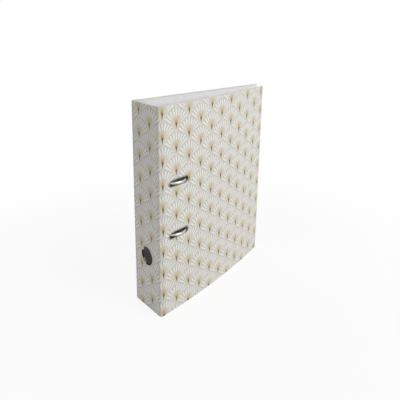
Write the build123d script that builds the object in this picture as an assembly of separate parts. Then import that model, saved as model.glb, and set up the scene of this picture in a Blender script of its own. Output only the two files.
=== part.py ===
from build123d import *
import os
from math import asin, cos, degrees, radians, sin, tan

# Lever arch file for A4 paper: a case of three covered boards joined by two creased hinges, and
# a bent wire ring mechanism riveted inside its back cover.
#
# Millimetres. The file stands on the lower edges of its case, +Z up, spine towards -X, fore-edge
# towards +X, front cover towards -Y. The origin is the middle of the footprint of its bounding
# box. The file is closed: the ring tops stand out through the slots of the front cover, which
# holds the spine a little out of square and bows the front cover.

# ---- Case ----
case_height = 318.0
case_depth = 285.0            # from a sharp hinge corner to the fore-edge, on the outside
spine_width = 70.0            # between the two sharp hinge corners, on the outside
board_thickness = 2.0
covering_thickness = 0.3      # printed paper round the boards
lining_thickness = 0.2        # paper inside the case
turn_in = 15.0                # covering folded over onto the inside of a board
lining_margin = 1.5           # turn-in left showing round the lining
crease_radius = 3.5           # outside of a hinge bend
spine_lean = 6.0              # degrees out of square with the back cover
front_slope = 3.3             # degrees between the covers where the front one leaves the spine
front_bow = 7.3               # rise of the bowed front cover over its chord
hole_clearance = 0.1          # round rivets, eyelets and posts in their holes

# ---- Finger ring of the spine ----
finger_bore = 29.0
finger_ring_height = 88.0     # above the table
finger_flange = 2.6           # width of the rim round the bore

# ---- Slot rims of the front cover ----
slot_length = 39.3            # clear opening
slot_width = 8.6
slot_flange = 1.7             # width of the rim round the opening
slot_seat = 0.2               # lets a flat rim lie on the bowed cover

# ---- Eyelets, both kinds ----
eyelet_wall = 0.5
eyelet_rise = 0.8             # rim over the surface that it lies on
washer_width = 3.0
washer_thickness = 0.5
eyelet_lip = 1.4              # curled over the washer

# ---- Ring mechanism ----
mechanism_height = 166.0      # middle of the mechanism above the table
ring_pitch = 80.0
arch_wire = 4.0
arch_bend = 18.5              # the two bends of a ring, with a short flat between them
arch_straight = 8.5           # straight end of a ring, over its post
arch_span = 38.0              # from the pivot of the arches to the posts
pivot_from_corner = 12.0      # from the sharp back hinge corner to the pivot of the arches
ring_poke = 5.8               # ring tops beyond the front cover
foot_bend = 6.0               # bend between a ring and the pivot length of the wire
crank_throw = 9.0
crank_rise = 0.55
crank_length = 26.0           # straight middle of the crank
crank_run = 4.0               # of the wire from its pivot line to the crank, along the pivot
crank_bend = 3.4
arch_tip_length = 1.2
arch_tip_radius = 0.9
running_clearance = 0.05      # radial, of everything that turns
post_diameter = 6.0
post_foot = 5.0               # its turned-down foot, in the plate
post_bore = 4.2
post_bore_depth = 14.0
post_chamfer = 0.6
post_collar = 9.0
post_collar_height = 1.2
tip_gap = 0.3                 # between a post and the shoulder of an arch tip

# ---- Base plate ----
sheet = 1.0                   # thickness of the pressed plate
plate_width = 57.0
plate_end = 35.0              # of the plate beyond each ring
plate_corner = 9.0
plate_edge = 8.0              # from the pivot of the arches to the near edge of the plate
platform_rise = 2.0
platform_margin = 3.0         # flat rim along the two long sides
platform_end = 17.0           # flat feet at the two short sides
platform_slope = 2.0
lug_width = 8.0
lug_from_ring = 12.0          # along the pivot, from a ring to the middle of its lug
lug_foot = 4.0
ear_gap = 8.0                 # half of the room between the lever's ears
ear_thickness = 1.2
ear_foot = 14.0
ear_head = 4.6
rivet_shank = 4.0
rivet_head = 9.0              # outside the case
rivet_tail = 7.0              # rolled over on the plate
rivet_head_rise = 1.2
rivet_edge = 8.0              # from the rivets to the edges of the plate
rib_length = 22.0
rib_width = 5.0
rib_rise = 1.0
rib_slope = 0.6

# ---- Lever ----
lever_pivot = 21.0            # from the pivot of the arches, towards the fore-edge
lever_pivot_height = 9.5
lever_pin = 4.0
pin_head = 6.4
pin_head_rise = 1.0
lever_sheet = 1.2
lever_half_width = 6.8
lever_lean = 40.0             # degrees from upright, towards the spine
lever_below_rings = 14.4      # from the tops of the rings down to the thumb tab
lever_bend_radius = 30.0
lever_bend = 30.0             # degrees back towards upright
lever_curl_radius = 12.0
lever_curl = 45.0             # degrees over towards the spine again, at the thumb tab
thumb_tab_half_width = 11.0
thumb_tab_length = 22.0
thumb_tab_corner = 6.6
cheek_pivot_radius = 4.6
cheek_roller_radius = 3.4
roller_pin = 3.0
roller_pin_head = 4.6
roller_pin_head_rise = 0.6
roller_radius = 4.0
roller_gap = 0.08             # between the roller and the crank
roller_side_gap = 0.3
roller_chamfer = 0.5
roller_offset = 0.8           # the roller sits this far past the crank, towards the fore-edge

# ---- Compressor ----
compressor_rest = 9.0         # underside above the lining
compressor_width = 15.0
compressor_end = 12.0         # of the bar beyond each post
compressor_sheet = 1.2
compressor_flange = 3.0
compressor_corner = 3.75
compressor_bore_clearance = 0.1
lock_length = 26.0
lock_thickness = 1.0
lock_corner = 3.0
lock_slide = 5.0
lock_gap = 0.3                # between the lock and the sides and keepers of the bar
lock_free_clearance = 0.8     # radial, of the lock on its post while it is free
lock_grip_clearance = 0.45    # radial, where it tips and binds
lock_tab = 6.0                # turned up at the end, for a finger
lock_tab_width = 7.2
keeper_length = 3.0           # of the tabs that hold the lock down
keeper_reach = 1.2
keeper_thickness = 0.6

# Turning of the case at its two hinges, and how far each hinge bend reaches from its corner.
back_turn = 90 - spine_lean
front_turn = 90 + spine_lean + front_slope
back_setback = crease_radius * tan(radians(back_turn / 2))
front_setback = crease_radius * tan(radians(front_turn / 2))
bow_radius = case_depth**2 / (8 * front_bow) + front_bow / 2

# Depths below the outside of the case.
board_top = covering_thickness
board_under = board_top + board_thickness
turn_in_under = board_under + covering_thickness
wall = board_under + lining_thickness
rim_wall = turn_in_under + lining_thickness
through = 4 * wall            # long enough to cut the case wall and the plate on it


class Panel:
    """A stretch of the case wall, flat or bowed.

    Its x runs round the outside of the case, from the fore-edge of the front cover to the
    fore-edge of the back cover. Its y points out of the case and its z up. Depth is measured
    inwards from the outside of the covering.
    """

    def __init__(self, length, radius=None):
        self.length = length
        self.radius = radius
        self.place = Location()

    def at(self, x):
        """Location of the outer surface at x, before the panel is placed."""
        if self.radius is None:
            return Location((x, 0, 0))
        turn = x / self.radius
        across = self.radius * sin(turn)
        sagged = self.radius * (cos(turn) - 1)
        return Location((across, sagged, 0), (0, 0, -degrees(turn)))

    def slab(self, x_range, depth_range, z_range):
        """Solid between two stations, two depths and two heights."""
        (x0, x1), (top, under), (z0, z1) = x_range, depth_range, z_range
        if self.radius is None:
            outline = Pos((x0 + x1) / 2, -(top + under) / 2) * Rectangle(x1 - x0, under - top)
        else:
            start = 90 - degrees(x0 / self.radius)
            sweep_angle = -degrees((x1 - x0) / self.radius)
            centre = (0, -self.radius)
            outer = CenterArc(centre, self.radius - top, start, sweep_angle)
            inner = CenterArc(centre, self.radius - under, start, sweep_angle)
            ends = [Line(outer @ 0, inner @ 0), Line(outer @ 1, inner @ 1)]
            outline = make_face([outer, inner] + ends)
        return Pos(0, 0, z0) * extrude(outline, z1 - z0, dir=(0, 0, 1))


def chained(panels, last_place):
    """Place panels end to end, so that the last one starts at last_place."""
    place = Location()
    for panel in panels:
        panel.place = place
        place = place * panel.at(panel.length)
    shift = last_place * panels[-1].place.inverse()
    for panel in panels:
        panel.place = shift * panel.place


def board(panel, free_start=False, free_end=False):
    """Board of a panel, a covering's thickness short of every edge that the covering wraps."""
    x_range = (
        covering_thickness if free_start else 0,
        panel.length - (covering_thickness if free_end else 0),
    )
    z_range = (covering_thickness, case_height - covering_thickness)
    return panel.slab(x_range, (board_top, board_under), z_range)


def covering(panel, free_start=False, free_end=False):
    """Printed paper over the outside of a board, round its free edges and in over its inside."""
    paper = panel.slab((0, panel.length), (0, turn_in_under), (0, case_height))
    paper -= board(panel, free_start, free_end)
    window = (turn_in if free_start else 0, panel.length - (turn_in if free_end else 0))
    window_height = (turn_in, case_height - turn_in)
    return paper - panel.slab(window, (board_under, turn_in_under), window_height)


def lining(panel, free_start=False, free_end=False):
    """Lining paper, on the board in the middle and stepped up over the turned-in covering."""
    sheet_x = (
        lining_margin if free_start else 0,
        panel.length - (lining_margin if free_end else 0),
    )
    sheet_z = (lining_margin, case_height - lining_margin)
    well_x = (turn_in if free_start else 0, panel.length - (turn_in if free_end else 0))
    well_z = (turn_in, case_height - turn_in)
    floor_x = (
        turn_in + lining_thickness if free_start else 0,
        panel.length - (turn_in + lining_thickness if free_end else 0),
    )
    floor_z = (turn_in + lining_thickness, case_height - turn_in - lining_thickness)
    paper = panel.slab(sheet_x, (turn_in_under, rim_wall), sheet_z)
    paper += panel.slab(well_x, (board_under, rim_wall), well_z)
    return paper - panel.slab(floor_x, (wall, rim_wall), floor_z)


def ring_eyelet(bore, flange):
    """Round eyelet about +Y: domed rim outside, collar through the wall and lip curled inside."""
    outer = bore / 2 + flange
    lip_face = -(wall + washer_thickness)
    lip_outer = bore / 2 + eyelet_wall + eyelet_lip
    rim = [
        (bore / 2, 0),
        (outer, 0),
        (outer, eyelet_rise / 2),
        (bore / 2 + eyelet_wall, eyelet_rise),
        (bore / 2, eyelet_rise / 2),
    ]
    section = make_face(Polyline(rim, close=True))
    section += Pos(bore / 2 + eyelet_wall / 2, lip_face / 2) * Rectangle(eyelet_wall, -lip_face)
    lip = [
        (bore / 2, lip_face),
        (lip_outer, lip_face),
        (lip_outer, lip_face - eyelet_wall / 2),
        (bore / 2 + eyelet_wall, lip_face - eyelet_wall),
        (bore / 2, lip_face - eyelet_wall / 2),
    ]
    section += make_face(Polyline(lip, close=True))
    return revolve(section, Axis.Y)


def ring_washer(bore):
    """Washer under the lip of a round eyelet, about +Y."""
    inner = bore / 2 + eyelet_wall + hole_clearance
    middle = inner + washer_width / 2
    section = Pos(middle, -wall - washer_thickness / 2) * Rectangle(washer_width, washer_thickness)
    return revolve(section, Axis.Y)


def slot_prism(grow, top, under):
    """Long round-ended prism through the wall, grown on the slot opening, between two depths."""
    outline = SlotOverall(slot_length + 2 * grow, slot_width + 2 * grow)
    return Plane.XZ.offset(top) * extrude(outline, under - top, dir=(0, 0, 1))


def slot_eyelet():
    """Long eyelet of the front cover: rounded rim, collar through the wall and curled lip."""
    rim = slot_prism(slot_flange, -eyelet_rise, 0)
    rim = chamfer(rim.faces().sort_by(Axis.Y)[-1].edges(), eyelet_rise / 2)
    lip_face = wall + slot_seat + washer_thickness
    collar = slot_prism(eyelet_wall, -eyelet_rise / 2, lip_face)
    lip = slot_prism(eyelet_lip, lip_face, lip_face + eyelet_wall)
    lip = chamfer(lip.faces().sort_by(Axis.Y)[0].edges(), eyelet_wall / 2)
    opening = slot_prism(0, -2 * eyelet_rise, lip_face + 2 * eyelet_wall)
    return rim + collar + lip - opening


def slot_washer():
    """Flat plate under the lip of a long eyelet."""
    grow = eyelet_wall + hole_clearance
    top = wall + slot_seat
    plate = slot_prism(grow + washer_width, top, top + washer_thickness)
    return plate - slot_prism(grow, top, top + washer_thickness)


def bent_wire(points, bend_radii, diameter):
    """Round wire along straight runs through the points, each corner bent to its radius."""
    points = [Vector(point) for point in points]
    section = Circle(diameter / 2)
    runs = []
    start = points[0]
    for before, corner, after, radius in zip(points, points[1:], points[2:], bend_radii):
        way_in = (corner - before).normalized()
        way_out = (after - corner).normalized()
        turn = way_in.get_angle(way_out)
        setback = radius * tan(radians(turn / 2))
        bend_start = corner - way_in * setback
        bend_axis = way_in.cross(way_out).normalized()
        bend_centre = bend_start + bend_axis.cross(way_in) * radius
        straight = (bend_start - start).length
        if straight > 1e-6:
            runs.append(extrude(Plane(origin=start, z_dir=way_in) * section, straight))
        cut_end = Plane(origin=bend_start, z_dir=way_in) * section
        runs.append(revolve(cut_end, Axis(bend_centre, bend_axis), turn))
        start = corner + way_out * setback
    straight = (points[-1] - start).length
    runs.append(extrude(Plane(origin=start, z_dir=way_out) * section, straight))
    return Part() + runs


def hull_plate(circles, thickness, y_middle):
    """Plate across Y with the outline of a belt round circles, each (x, z, radius)."""
    edges = [CenterArc((x, z), radius, 0, 360).edge() for x, z, radius in circles]
    plate = extrude(make_hull(edges), thickness / 2, both=True)
    return Pos(0, y_middle, 0) * (Plane.XZ * plate)


def across(x, z, radius, half_length, y_middle=0):
    """Rod along Y."""
    return Pos(x, y_middle, z) * Rot(90, 0, 0) * Cylinder(radius, 2 * half_length)


def headed_pin(x, z, radius, half_grip, head_radius, head_rise):
    """Pin along Y with a peened head at each end."""
    pin = across(x, z, radius, half_grip + head_rise)
    for side in (-1, 1):
        head = across(x, z, head_radius, head_rise / 2, side * (half_grip + head_rise / 2))
        rim = head.faces().sort_by(Axis.Y)[-1 if side > 0 else 0].edges()
        pin += chamfer(rim, head_rise / 2)
    return pin


# ---- The case, in a frame with its sharp back hinge corner at x = 0, y = 0 ----
front = Panel(case_depth - front_setback, bow_radius)
front_crease = Panel(crease_radius * radians(front_turn), crease_radius)
spine = Panel(spine_width - front_setback - back_setback)
back_crease = Panel(crease_radius * radians(back_turn), crease_radius)
back = Panel(case_depth - back_setback)
chained([front, front_crease, spine, back_crease, back], Location((back_setback, 0, 0)))

# The mechanism's own frame: x from the back hinge corner, y up the file from the middle of the
# mechanism, z out of the lining of the back cover.
mechanism = Plane(origin=(0, -wall, mechanism_height), x_dir=(1, 0, 0), z_dir=(0, -1, 0)).location
post_x = pivot_from_corner + arch_span
arch_middle = pivot_from_corner + arch_span / 2

# Where the rings meet the front cover, whose outside is a cylinder about bow_axis.
bow_axis = (front.place * Location((0, -bow_radius, 0))).position
ring_slope = asin((arch_middle - bow_axis.X) / bow_radius)
ring_exit = bow_axis.Y - bow_radius * cos(ring_slope)
arch_height = ring_poke - ring_exit - wall - arch_wire / 2


def slot_place(side):
    """Location of a slot of the front cover, its y pointing out of the case."""
    height = mechanism_height + side * ring_pitch / 2
    return Location((arch_middle, ring_exit, height), (0, 0, 180 + degrees(ring_slope)))


finger_place = spine.place * Location((spine_width / 2 - front_setback, 0, finger_ring_height))
platform_top = sheet + platform_rise
axle_height = platform_top + arch_wire / 2 + running_clearance
plate_middle = pivot_from_corner - plate_edge + plate_width / 2
lever_x = pivot_from_corner + lever_pivot
crank_x = pivot_from_corner + crank_throw
plate_length = ring_pitch + 2 * plate_end
compressor_length = ring_pitch + 2 * compressor_end
post_height = arch_height - arch_bend - arch_straight - tip_gap
crank_z = axle_height + crank_rise
roller_x = crank_x + roller_offset
roller_reach = roller_radius + arch_wire / 2 + roller_gap
roller_z = crank_z + (roller_reach**2 - roller_offset**2) ** 0.5
rivet_x = plate_width / 2 - rivet_edge
rivet_y = plate_length / 2 - rivet_edge
rivet_places = [(plate_middle + i * rivet_x, j * rivet_y) for i in (-1, 1) for j in (-1, 1)]


def finger_hole():
    """Cut for the collar of the finger ring, through the spine."""
    radius = finger_bore / 2 + eyelet_wall + hole_clearance
    return finger_place * Rot(90, 0, 0) * Cylinder(radius, through)


def slot_holes():
    """Cuts for the collars of both slot rims, through the front cover."""
    cut = slot_prism(eyelet_wall + hole_clearance, -wall, 2 * wall)
    return [slot_place(side) * cut for side in (-1, 1)]


def rivet_holes(radius):
    """Cuts for the four rivets, through the back cover and the plate."""
    return [mechanism * Pos(x, y, 0) * Cylinder(radius, through) for x, y in rivet_places]


def base_plate():
    """Pressed plate: flat rim, hollow platform, ribs, lugs over the wire and ears for the lever."""
    plate = Pos(plate_middle, 0, sheet / 2) * extrude(
        RectangleRounded(plate_width, plate_length, plate_corner), sheet / 2, both=True
    )
    foot = (plate_width - 2 * platform_margin, plate_length - 2 * platform_end)
    head = (foot[0] - 2 * platform_slope, foot[1] - 2 * platform_slope)
    corner = plate_corner - platform_margin

    def platform(low, high, inset):
        """Block with the platform's sloped sides, drawn in all round by inset."""
        lower = RectangleRounded(foot[0] - 2 * inset, foot[1] - 2 * inset, corner)
        upper = RectangleRounded(head[0] - 2 * inset, head[1] - 2 * inset, corner)
        return Pos(plate_middle, 0, 0) * loft([Pos(0, 0, low) * lower, Pos(0, 0, high) * upper])

    plate += platform(sheet, platform_top, 0)
    plate -= platform(0, platform_rise, sheet)
    rib = extrude(SlotOverall(rib_length, rib_width), rib_rise)
    rib = chamfer(rib.faces().sort_by(Axis.Z)[-1].edges(), rib_slope)
    for side in (-1, 1):
        plate += Pos(plate_middle, side * ring_pitch / 4, platform_top) * rib
        plate += lug(side * (ring_pitch / 2 - lug_from_ring))
        plate += ear(side * (ear_gap + ear_thickness / 2))
        plate -= Pos(post_x, side * ring_pitch / 2, 0) * Cylinder(post_foot / 2, through)
    for x, y in rivet_places:
        plate -= Pos(x, y, 0) * Cylinder(rivet_shank / 2 + hole_clearance, through)
    lever_hole = across(lever_x, lever_pivot_height, lever_pin / 2, 2 * ear_gap)
    return plate - lever_hole


def lug(y):
    """Loop lanced out of the plate, which holds the pivot length of the wire down."""
    bore = arch_wire / 2 + running_clearance
    outer = bore + sheet
    half_foot = outer + lug_foot
    platform_level = platform_top - axle_height
    strip = Circle(outer) + Pos(0, platform_level / 2) * Rectangle(2 * outer, -platform_level)
    strip += Pos(0, platform_level + sheet / 2) * Rectangle(2 * half_foot, sheet)
    strip -= Circle(bore) + Pos(0, platform_level / 2) * Rectangle(2 * bore, -platform_level)
    below = Pos(0, platform_level - outer) * Rectangle(2 * half_foot, 2 * outer)
    strap = extrude(strip - below, lug_width / 2, both=True)
    return Pos(pivot_from_corner, y, axle_height) * (Plane.XZ * strap)


def ear(y):
    """Ear turned up out of the plate for the lever pin."""
    low = platform_top
    feet = [(lever_x + side * (ear_foot / 2 - sheet), low + sheet, sheet) for side in (-1, 1)]
    plate = hull_plate(feet + [(lever_x, lever_pivot_height, ear_head)], ear_thickness, y)
    ground = Pos(lever_x, y, low - ear_foot / 2) * Box(2 * ear_foot, 2 * ear_thickness, ear_foot)
    return plate - ground


def rivet(x, y):
    """Rivet through the back cover, with a domed head outside and a rolled one on the plate."""
    outside = -wall
    section = Rectangle(rivet_shank / 2, sheet - outside, align=(Align.MIN, Align.MIN))
    section = Pos(0, outside) * section
    for height, way, head in ((outside, -1, rivet_head), (sheet, 1, rivet_tail)):
        top = height + way * rivet_head_rise
        crown = [(0, height), (head / 2, height), (head / 4, top), (0, top)]
        section += make_face(Polyline(crown, close=True))
    return Pos(x, y, 0) * revolve(Plane.XZ * section, Axis.Z)


def post(y):
    """Hollow post with a collar on the plate and a funnel at its top for the arch tip."""
    outer = post_diameter / 2
    bore = post_bore / 2
    foot = post_foot / 2 - hole_clearance
    profile = [
        (0, platform_rise),
        (foot, platform_rise),
        (foot, platform_top),
        (post_collar / 2, platform_top),
        (post_collar / 2, platform_top + post_collar_height / 2),
        (outer, platform_top + post_collar_height),
        (outer, post_height),
        (bore + post_chamfer, post_height),
        (bore, post_height - post_chamfer),
        (bore, post_height - post_bore_depth),
        (0, post_height - post_bore_depth),
    ]
    section = Plane.XZ * make_face(Polyline(profile, close=True))
    return Pos(post_x, y, 0) * revolve(section, Axis.Z)


def arches():
    """Both rings, their pivot length and the crank under the lever, bent from one wire."""
    ring_y = ring_pitch / 2
    shoulder = post_height + tip_gap
    half_crank = crank_length / 2
    upper_half = [
        (post_x, ring_y, shoulder),
        (post_x, ring_y, arch_height),
        (pivot_from_corner, ring_y, arch_height),
        (pivot_from_corner, ring_y, axle_height),
        (pivot_from_corner, half_crank + crank_run, axle_height),
        (crank_x, half_crank, crank_z),
    ]
    lower_half = [(x, -y, z) for x, y, z in reversed(upper_half)]
    radii = [arch_bend, arch_bend, foot_bend, crank_bend, crank_bend]
    wire = bent_wire(upper_half + lower_half, radii + radii[::-1], arch_wire)
    tip = Cone(arch_tip_radius, arch_wire / 2, arch_tip_length)
    for side in (-1, 1):
        wire += Pos(post_x, side * ring_y, shoulder - arch_tip_length / 2) * tip
    return wire


def lever():
    """Pressed lever: a curved web with a thumb tab, and two cheeks that hold pin and roller."""
    leans = [sin(radians(angle)) for angle in (lever_lean, lever_lean - lever_bend)]
    leans.append(sin(radians(lever_lean - lever_bend + lever_curl)))
    bend_rise = lever_bend_radius * (leans[0] - leans[1])
    curl_rise = lever_curl_radius * (leans[2] - leans[1])
    lean = Vector(-leans[0], cos(radians(lever_lean)))
    outward = Vector(lean.Y, -lean.X)
    foot = Vector(lever_x, lever_pivot_height) + outward * (cheek_pivot_radius - lever_sheet / 2)
    straight_rise = arch_height - lever_below_rings - foot.Y - bend_rise - curl_rise
    lever_straight = straight_rise / lean.Y
    straight = Line(foot, foot + lean * lever_straight)
    bend = JernArc(straight @ 1, straight % 1, lever_bend_radius, -lever_bend)
    curl = JernArc(bend @ 1, bend % 1, lever_curl_radius, lever_curl)
    path = Plane.XZ * Wire([straight.edge(), bend.edge(), curl.edge()])
    section = Plane(path @ 0, x_dir=(0, 1, 0), z_dir=path % 0)
    web = sweep(section * Rectangle(2 * thumb_tab_half_width, lever_sheet), path=path)
    # Seen from the spine: a narrow arm that widens into the rounded thumb tab.
    tip_height = (path @ 1).Z + lever_sheet
    tab_middle = tip_height - thumb_tab_length / 2
    face = Pos(0, tab_middle / 2) * Rectangle(2 * lever_half_width, tab_middle)
    face += Pos(0, tab_middle) * RectangleRounded(
        2 * thumb_tab_half_width, thumb_tab_length, thumb_tab_corner
    )
    web &= extrude(Plane.YZ * face, 4 * arch_span, both=True)
    arm_end = Vector(lever_x, lever_pivot_height) + outward * cheek_pivot_radius
    arm_end += lean * lever_straight - outward * lever_sheet
    pivot_circle = (lever_x, lever_pivot_height, cheek_pivot_radius)
    roller_circle = (roller_x, roller_z, cheek_roller_radius)
    arm_circle = (arm_end.X, arm_end.Y, lever_sheet)
    pressed = web
    for side in (-1, 1):
        y = side * (lever_half_width - lever_sheet / 2)
        pressed += hull_plate([pivot_circle, arm_circle], lever_sheet, y)
        pressed += hull_plate([pivot_circle, roller_circle], lever_sheet, y)
    pressed -= across(lever_x, lever_pivot_height, lever_pin / 2 + running_clearance, 2 * ear_gap)
    return pressed - across(roller_x, roller_z, roller_pin / 2, 2 * ear_gap)


def lever_axle():
    """Pin through the ears of the base plate, on which the lever turns."""
    half_grip = ear_gap + ear_thickness
    head = pin_head / 2
    return headed_pin(lever_x, lever_pivot_height, lever_pin / 2, half_grip, head, pin_head_rise)


def roller_axle():
    """Pin through the cheeks of the lever, on which the roller turns."""
    head = roller_pin_head / 2
    return headed_pin(
        roller_x, roller_z, roller_pin / 2, lever_half_width, head, roller_pin_head_rise
    )


def lever_roller():
    """Roller that bears on the crank, with softened rims."""
    half_length = lever_half_width - lever_sheet - roller_side_gap
    roller = across(roller_x, roller_z, roller_radius, half_length)
    roller = chamfer(roller.edges().filter_by(GeomType.CIRCLE), roller_chamfer)
    return roller - across(roller_x, roller_z, roller_pin / 2 + running_clearance, 2 * half_length)


def compressor_bar():
    """Pressed bar that slides on the posts, with turned-up sides and tabs that keep its lock."""
    rise = compressor_sheet + compressor_flange
    outline = RectangleRounded(compressor_width, compressor_length, compressor_corner)
    trough_width = compressor_width - 2 * compressor_sheet
    trough = extrude(Rectangle(trough_width, 2 * compressor_length), rise)
    bar = extrude(outline, rise) - Pos(0, 0, compressor_sheet) * trough
    hole = Cylinder(post_diameter / 2 + compressor_bore_clearance, through)
    keeper = extrude(Rectangle(2 * keeper_reach, keeper_length), keeper_thickness)
    keeper_height = compressor_sheet + lock_thickness + lock_gap
    for side in (-1, 1):
        bar -= Pos(0, side * ring_pitch / 2, 0) * hole
        bar += Pos(side * trough_width / 2, ring_pitch / 2 - lock_slide, keeper_height) * keeper
    return Pos(post_x, 0, compressor_rest) * bar


def compressor_lock():
    """Sliding plate with a keyhole: free round the post, drawn inwards it tips and binds."""
    width = compressor_width - 2 * compressor_sheet - 2 * lock_gap
    grip = post_diameter / 2 + lock_grip_clearance
    inner_end = -lock_length / 2 - lock_slide
    outline = Pos(0, inner_end + lock_length / 2) * RectangleRounded(width, lock_length, lock_corner)
    outline -= Circle(post_diameter / 2 + lock_free_clearance)
    outline -= Pos(0, lock_slide / 2) * Rectangle(2 * grip, lock_slide)
    outline -= Pos(0, lock_slide) * Circle(grip)
    plate = extrude(outline, lock_thickness)
    tab = Pos(0, inner_end + lock_thickness / 2) * Rectangle(lock_tab_width, lock_thickness)
    plate += extrude(tab, lock_tab)
    return Pos(post_x, ring_pitch / 2, compressor_rest + compressor_sheet) * plate


def cut_by(shape, tools):
    """Shape less every tool."""
    for tool in tools:
        shape -= tool
    return shape


finger_cut = [finger_hole()]
slot_cuts = slot_holes()
rivet_cuts = rivet_holes(rivet_shank / 2 + hole_clearance)

nodes = {
    "front_board": cut_by(front.place * board(front, free_start=True), slot_cuts),
    "front_covering": cut_by(front.place * covering(front, free_start=True), slot_cuts),
    "front_lining": cut_by(front.place * lining(front, free_start=True), slot_cuts),
    "front_crease_board": front_crease.place * board(front_crease),
    "front_crease_covering": front_crease.place * covering(front_crease),
    "spine_board": cut_by(spine.place * board(spine), finger_cut),
    "spine_covering": cut_by(spine.place * covering(spine), finger_cut),
    "spine_lining": cut_by(spine.place * lining(spine), finger_cut),
    "back_crease_board": back_crease.place * board(back_crease),
    "back_crease_covering": back_crease.place * covering(back_crease),
    "back_board": cut_by(back.place * board(back, free_end=True), rivet_cuts),
    "back_covering": cut_by(back.place * covering(back, free_end=True), rivet_cuts),
    "back_lining": cut_by(back.place * lining(back, free_end=True), rivet_cuts),
    "finger_ring": finger_place * ring_eyelet(finger_bore, finger_flange),
    "finger_ring_washer": finger_place * ring_washer(finger_bore),
    "base_plate": mechanism * base_plate(),
    "plate_rivets": mechanism * Compound([rivet(x, y) for x, y in rivet_places]),
    "arch_wire": mechanism * arches(),
    "lever": mechanism * lever(),
    "lever_pin": mechanism * lever_axle(),
    "lever_roller": mechanism * lever_roller(),
    "roller_pin": mechanism * roller_axle(),
    "compressor_bar": mechanism * compressor_bar(),
    "compressor_lock": mechanism * compressor_lock(),
}
for name, side in (("lower", -1), ("upper", 1)):
    nodes[name + "_slot_rim"] = slot_place(side) * slot_eyelet()
    nodes[name + "_slot_washer"] = slot_place(side) * slot_washer()
    nodes[name + "_post"] = mechanism * post(side * ring_pitch / 2)

# The origin is the middle of the footprint.
box = Compound([Compound(shape.solids()) for shape in nodes.values()]).bounding_box()
centre = Pos(-(box.min.X + box.max.X) / 2, -(box.min.Y + box.max.Y) / 2, 0)

os.makedirs("parts", exist_ok=True)
for name, shape in nodes.items():
    solids = [centre * solid for solid in shape.solids()]
    export_step(Compound(solids) if len(solids) > 1 else solids[0], f"parts/{name}.step")


def hinge_line(panel, setback, turn):
    """Line that a hinge turns about: its covering keeps its length there from shut to flat."""
    half = radians(turn / 2)
    along = setback - crease_radius * half
    return panel.place * Location((along - setback, -along / tan(half), 0))


joint_lines = {
    "front hinge": hinge_line(spine, front_setback, front_turn),
    "back hinge": hinge_line(back, back_setback, back_turn),
    "arch pivot": mechanism * Pos(pivot_from_corner, 0, axle_height),
    "lever pivot": mechanism * Pos(lever_x, 0, lever_pivot_height),
    "roller pin": mechanism * Pos(roller_x, 0, roller_z),
    "posts": mechanism * Pos(post_x, 0, compressor_rest),
}
for name, place in joint_lines.items():
    point = (centre * place).position
    print(f"{name}: x {point.X:.3f}, y {point.Y:.3f}, z {point.Z:.3f}")
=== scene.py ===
"""Looks of a lever arch file: paper-covered case, metal eyelets and a nickel-plated lever arch.

All sizes are in millimetres, turned to metres where a mesh is made. The case wall is described by
a station s, which runs round the outside from the fore-edge of the front cover to the fore-edge of
the back cover, a depth measured inwards from the outside of the printed paper, and a height z.
"""

import sys

import logging
import math
from collections.abc import Callable, Mapping, Sequence
from dataclasses import dataclass, field, replace
from enum import Enum

import bmesh
import bpy
import numpy as np
from mathutils import Matrix, Vector


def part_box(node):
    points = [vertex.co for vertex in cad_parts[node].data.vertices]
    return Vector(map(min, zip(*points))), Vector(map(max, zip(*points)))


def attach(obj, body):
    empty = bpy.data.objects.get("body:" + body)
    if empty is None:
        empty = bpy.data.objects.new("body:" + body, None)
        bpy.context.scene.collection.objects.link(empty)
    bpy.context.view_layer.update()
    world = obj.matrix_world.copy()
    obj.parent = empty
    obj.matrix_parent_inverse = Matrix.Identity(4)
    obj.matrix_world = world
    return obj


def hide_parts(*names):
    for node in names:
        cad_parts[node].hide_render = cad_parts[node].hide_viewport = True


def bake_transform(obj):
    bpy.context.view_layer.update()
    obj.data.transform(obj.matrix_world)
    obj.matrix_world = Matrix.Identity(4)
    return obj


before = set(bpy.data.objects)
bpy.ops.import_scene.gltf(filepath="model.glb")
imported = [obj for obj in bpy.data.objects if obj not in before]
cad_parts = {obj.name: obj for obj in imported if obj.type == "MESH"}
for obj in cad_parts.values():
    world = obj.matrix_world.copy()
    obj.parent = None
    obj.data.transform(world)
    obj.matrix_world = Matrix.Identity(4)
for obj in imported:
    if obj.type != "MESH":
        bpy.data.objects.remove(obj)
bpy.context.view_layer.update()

METRES = 0.001
WHITE = (1.0, 1.0, 1.0, 1.0)
LOG = logging.getLogger("lever_arch_file")

Array = np.ndarray
Piece = bpy.types.Object
Socket = bpy.types.NodeSocket
Tree = bpy.types.NodeTree
Sum = tuple[str, str, tuple[str | float, ...]]
Rise = tuple[str, str | float, str | float]


# ---- Colour and nodes ----


def linear(hex_colour: str) -> tuple[float, float, float, float]:
    """Turn an sRGB hex colour into the linear colour that a shader takes.

    Args:
        hex_colour: Six hex digits.

    Returns:
        Linear red, green, blue and an alpha of 1.
    """
    parts = np.array([int(hex_colour[i : i + 2], 16) for i in (0, 2, 4)]) / 255
    curve = np.where(parts <= 0.04045, parts / 12.92, ((parts + 0.055) / 1.055) ** 2.4)
    return (*curve.tolist(), 1.0)


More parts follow.
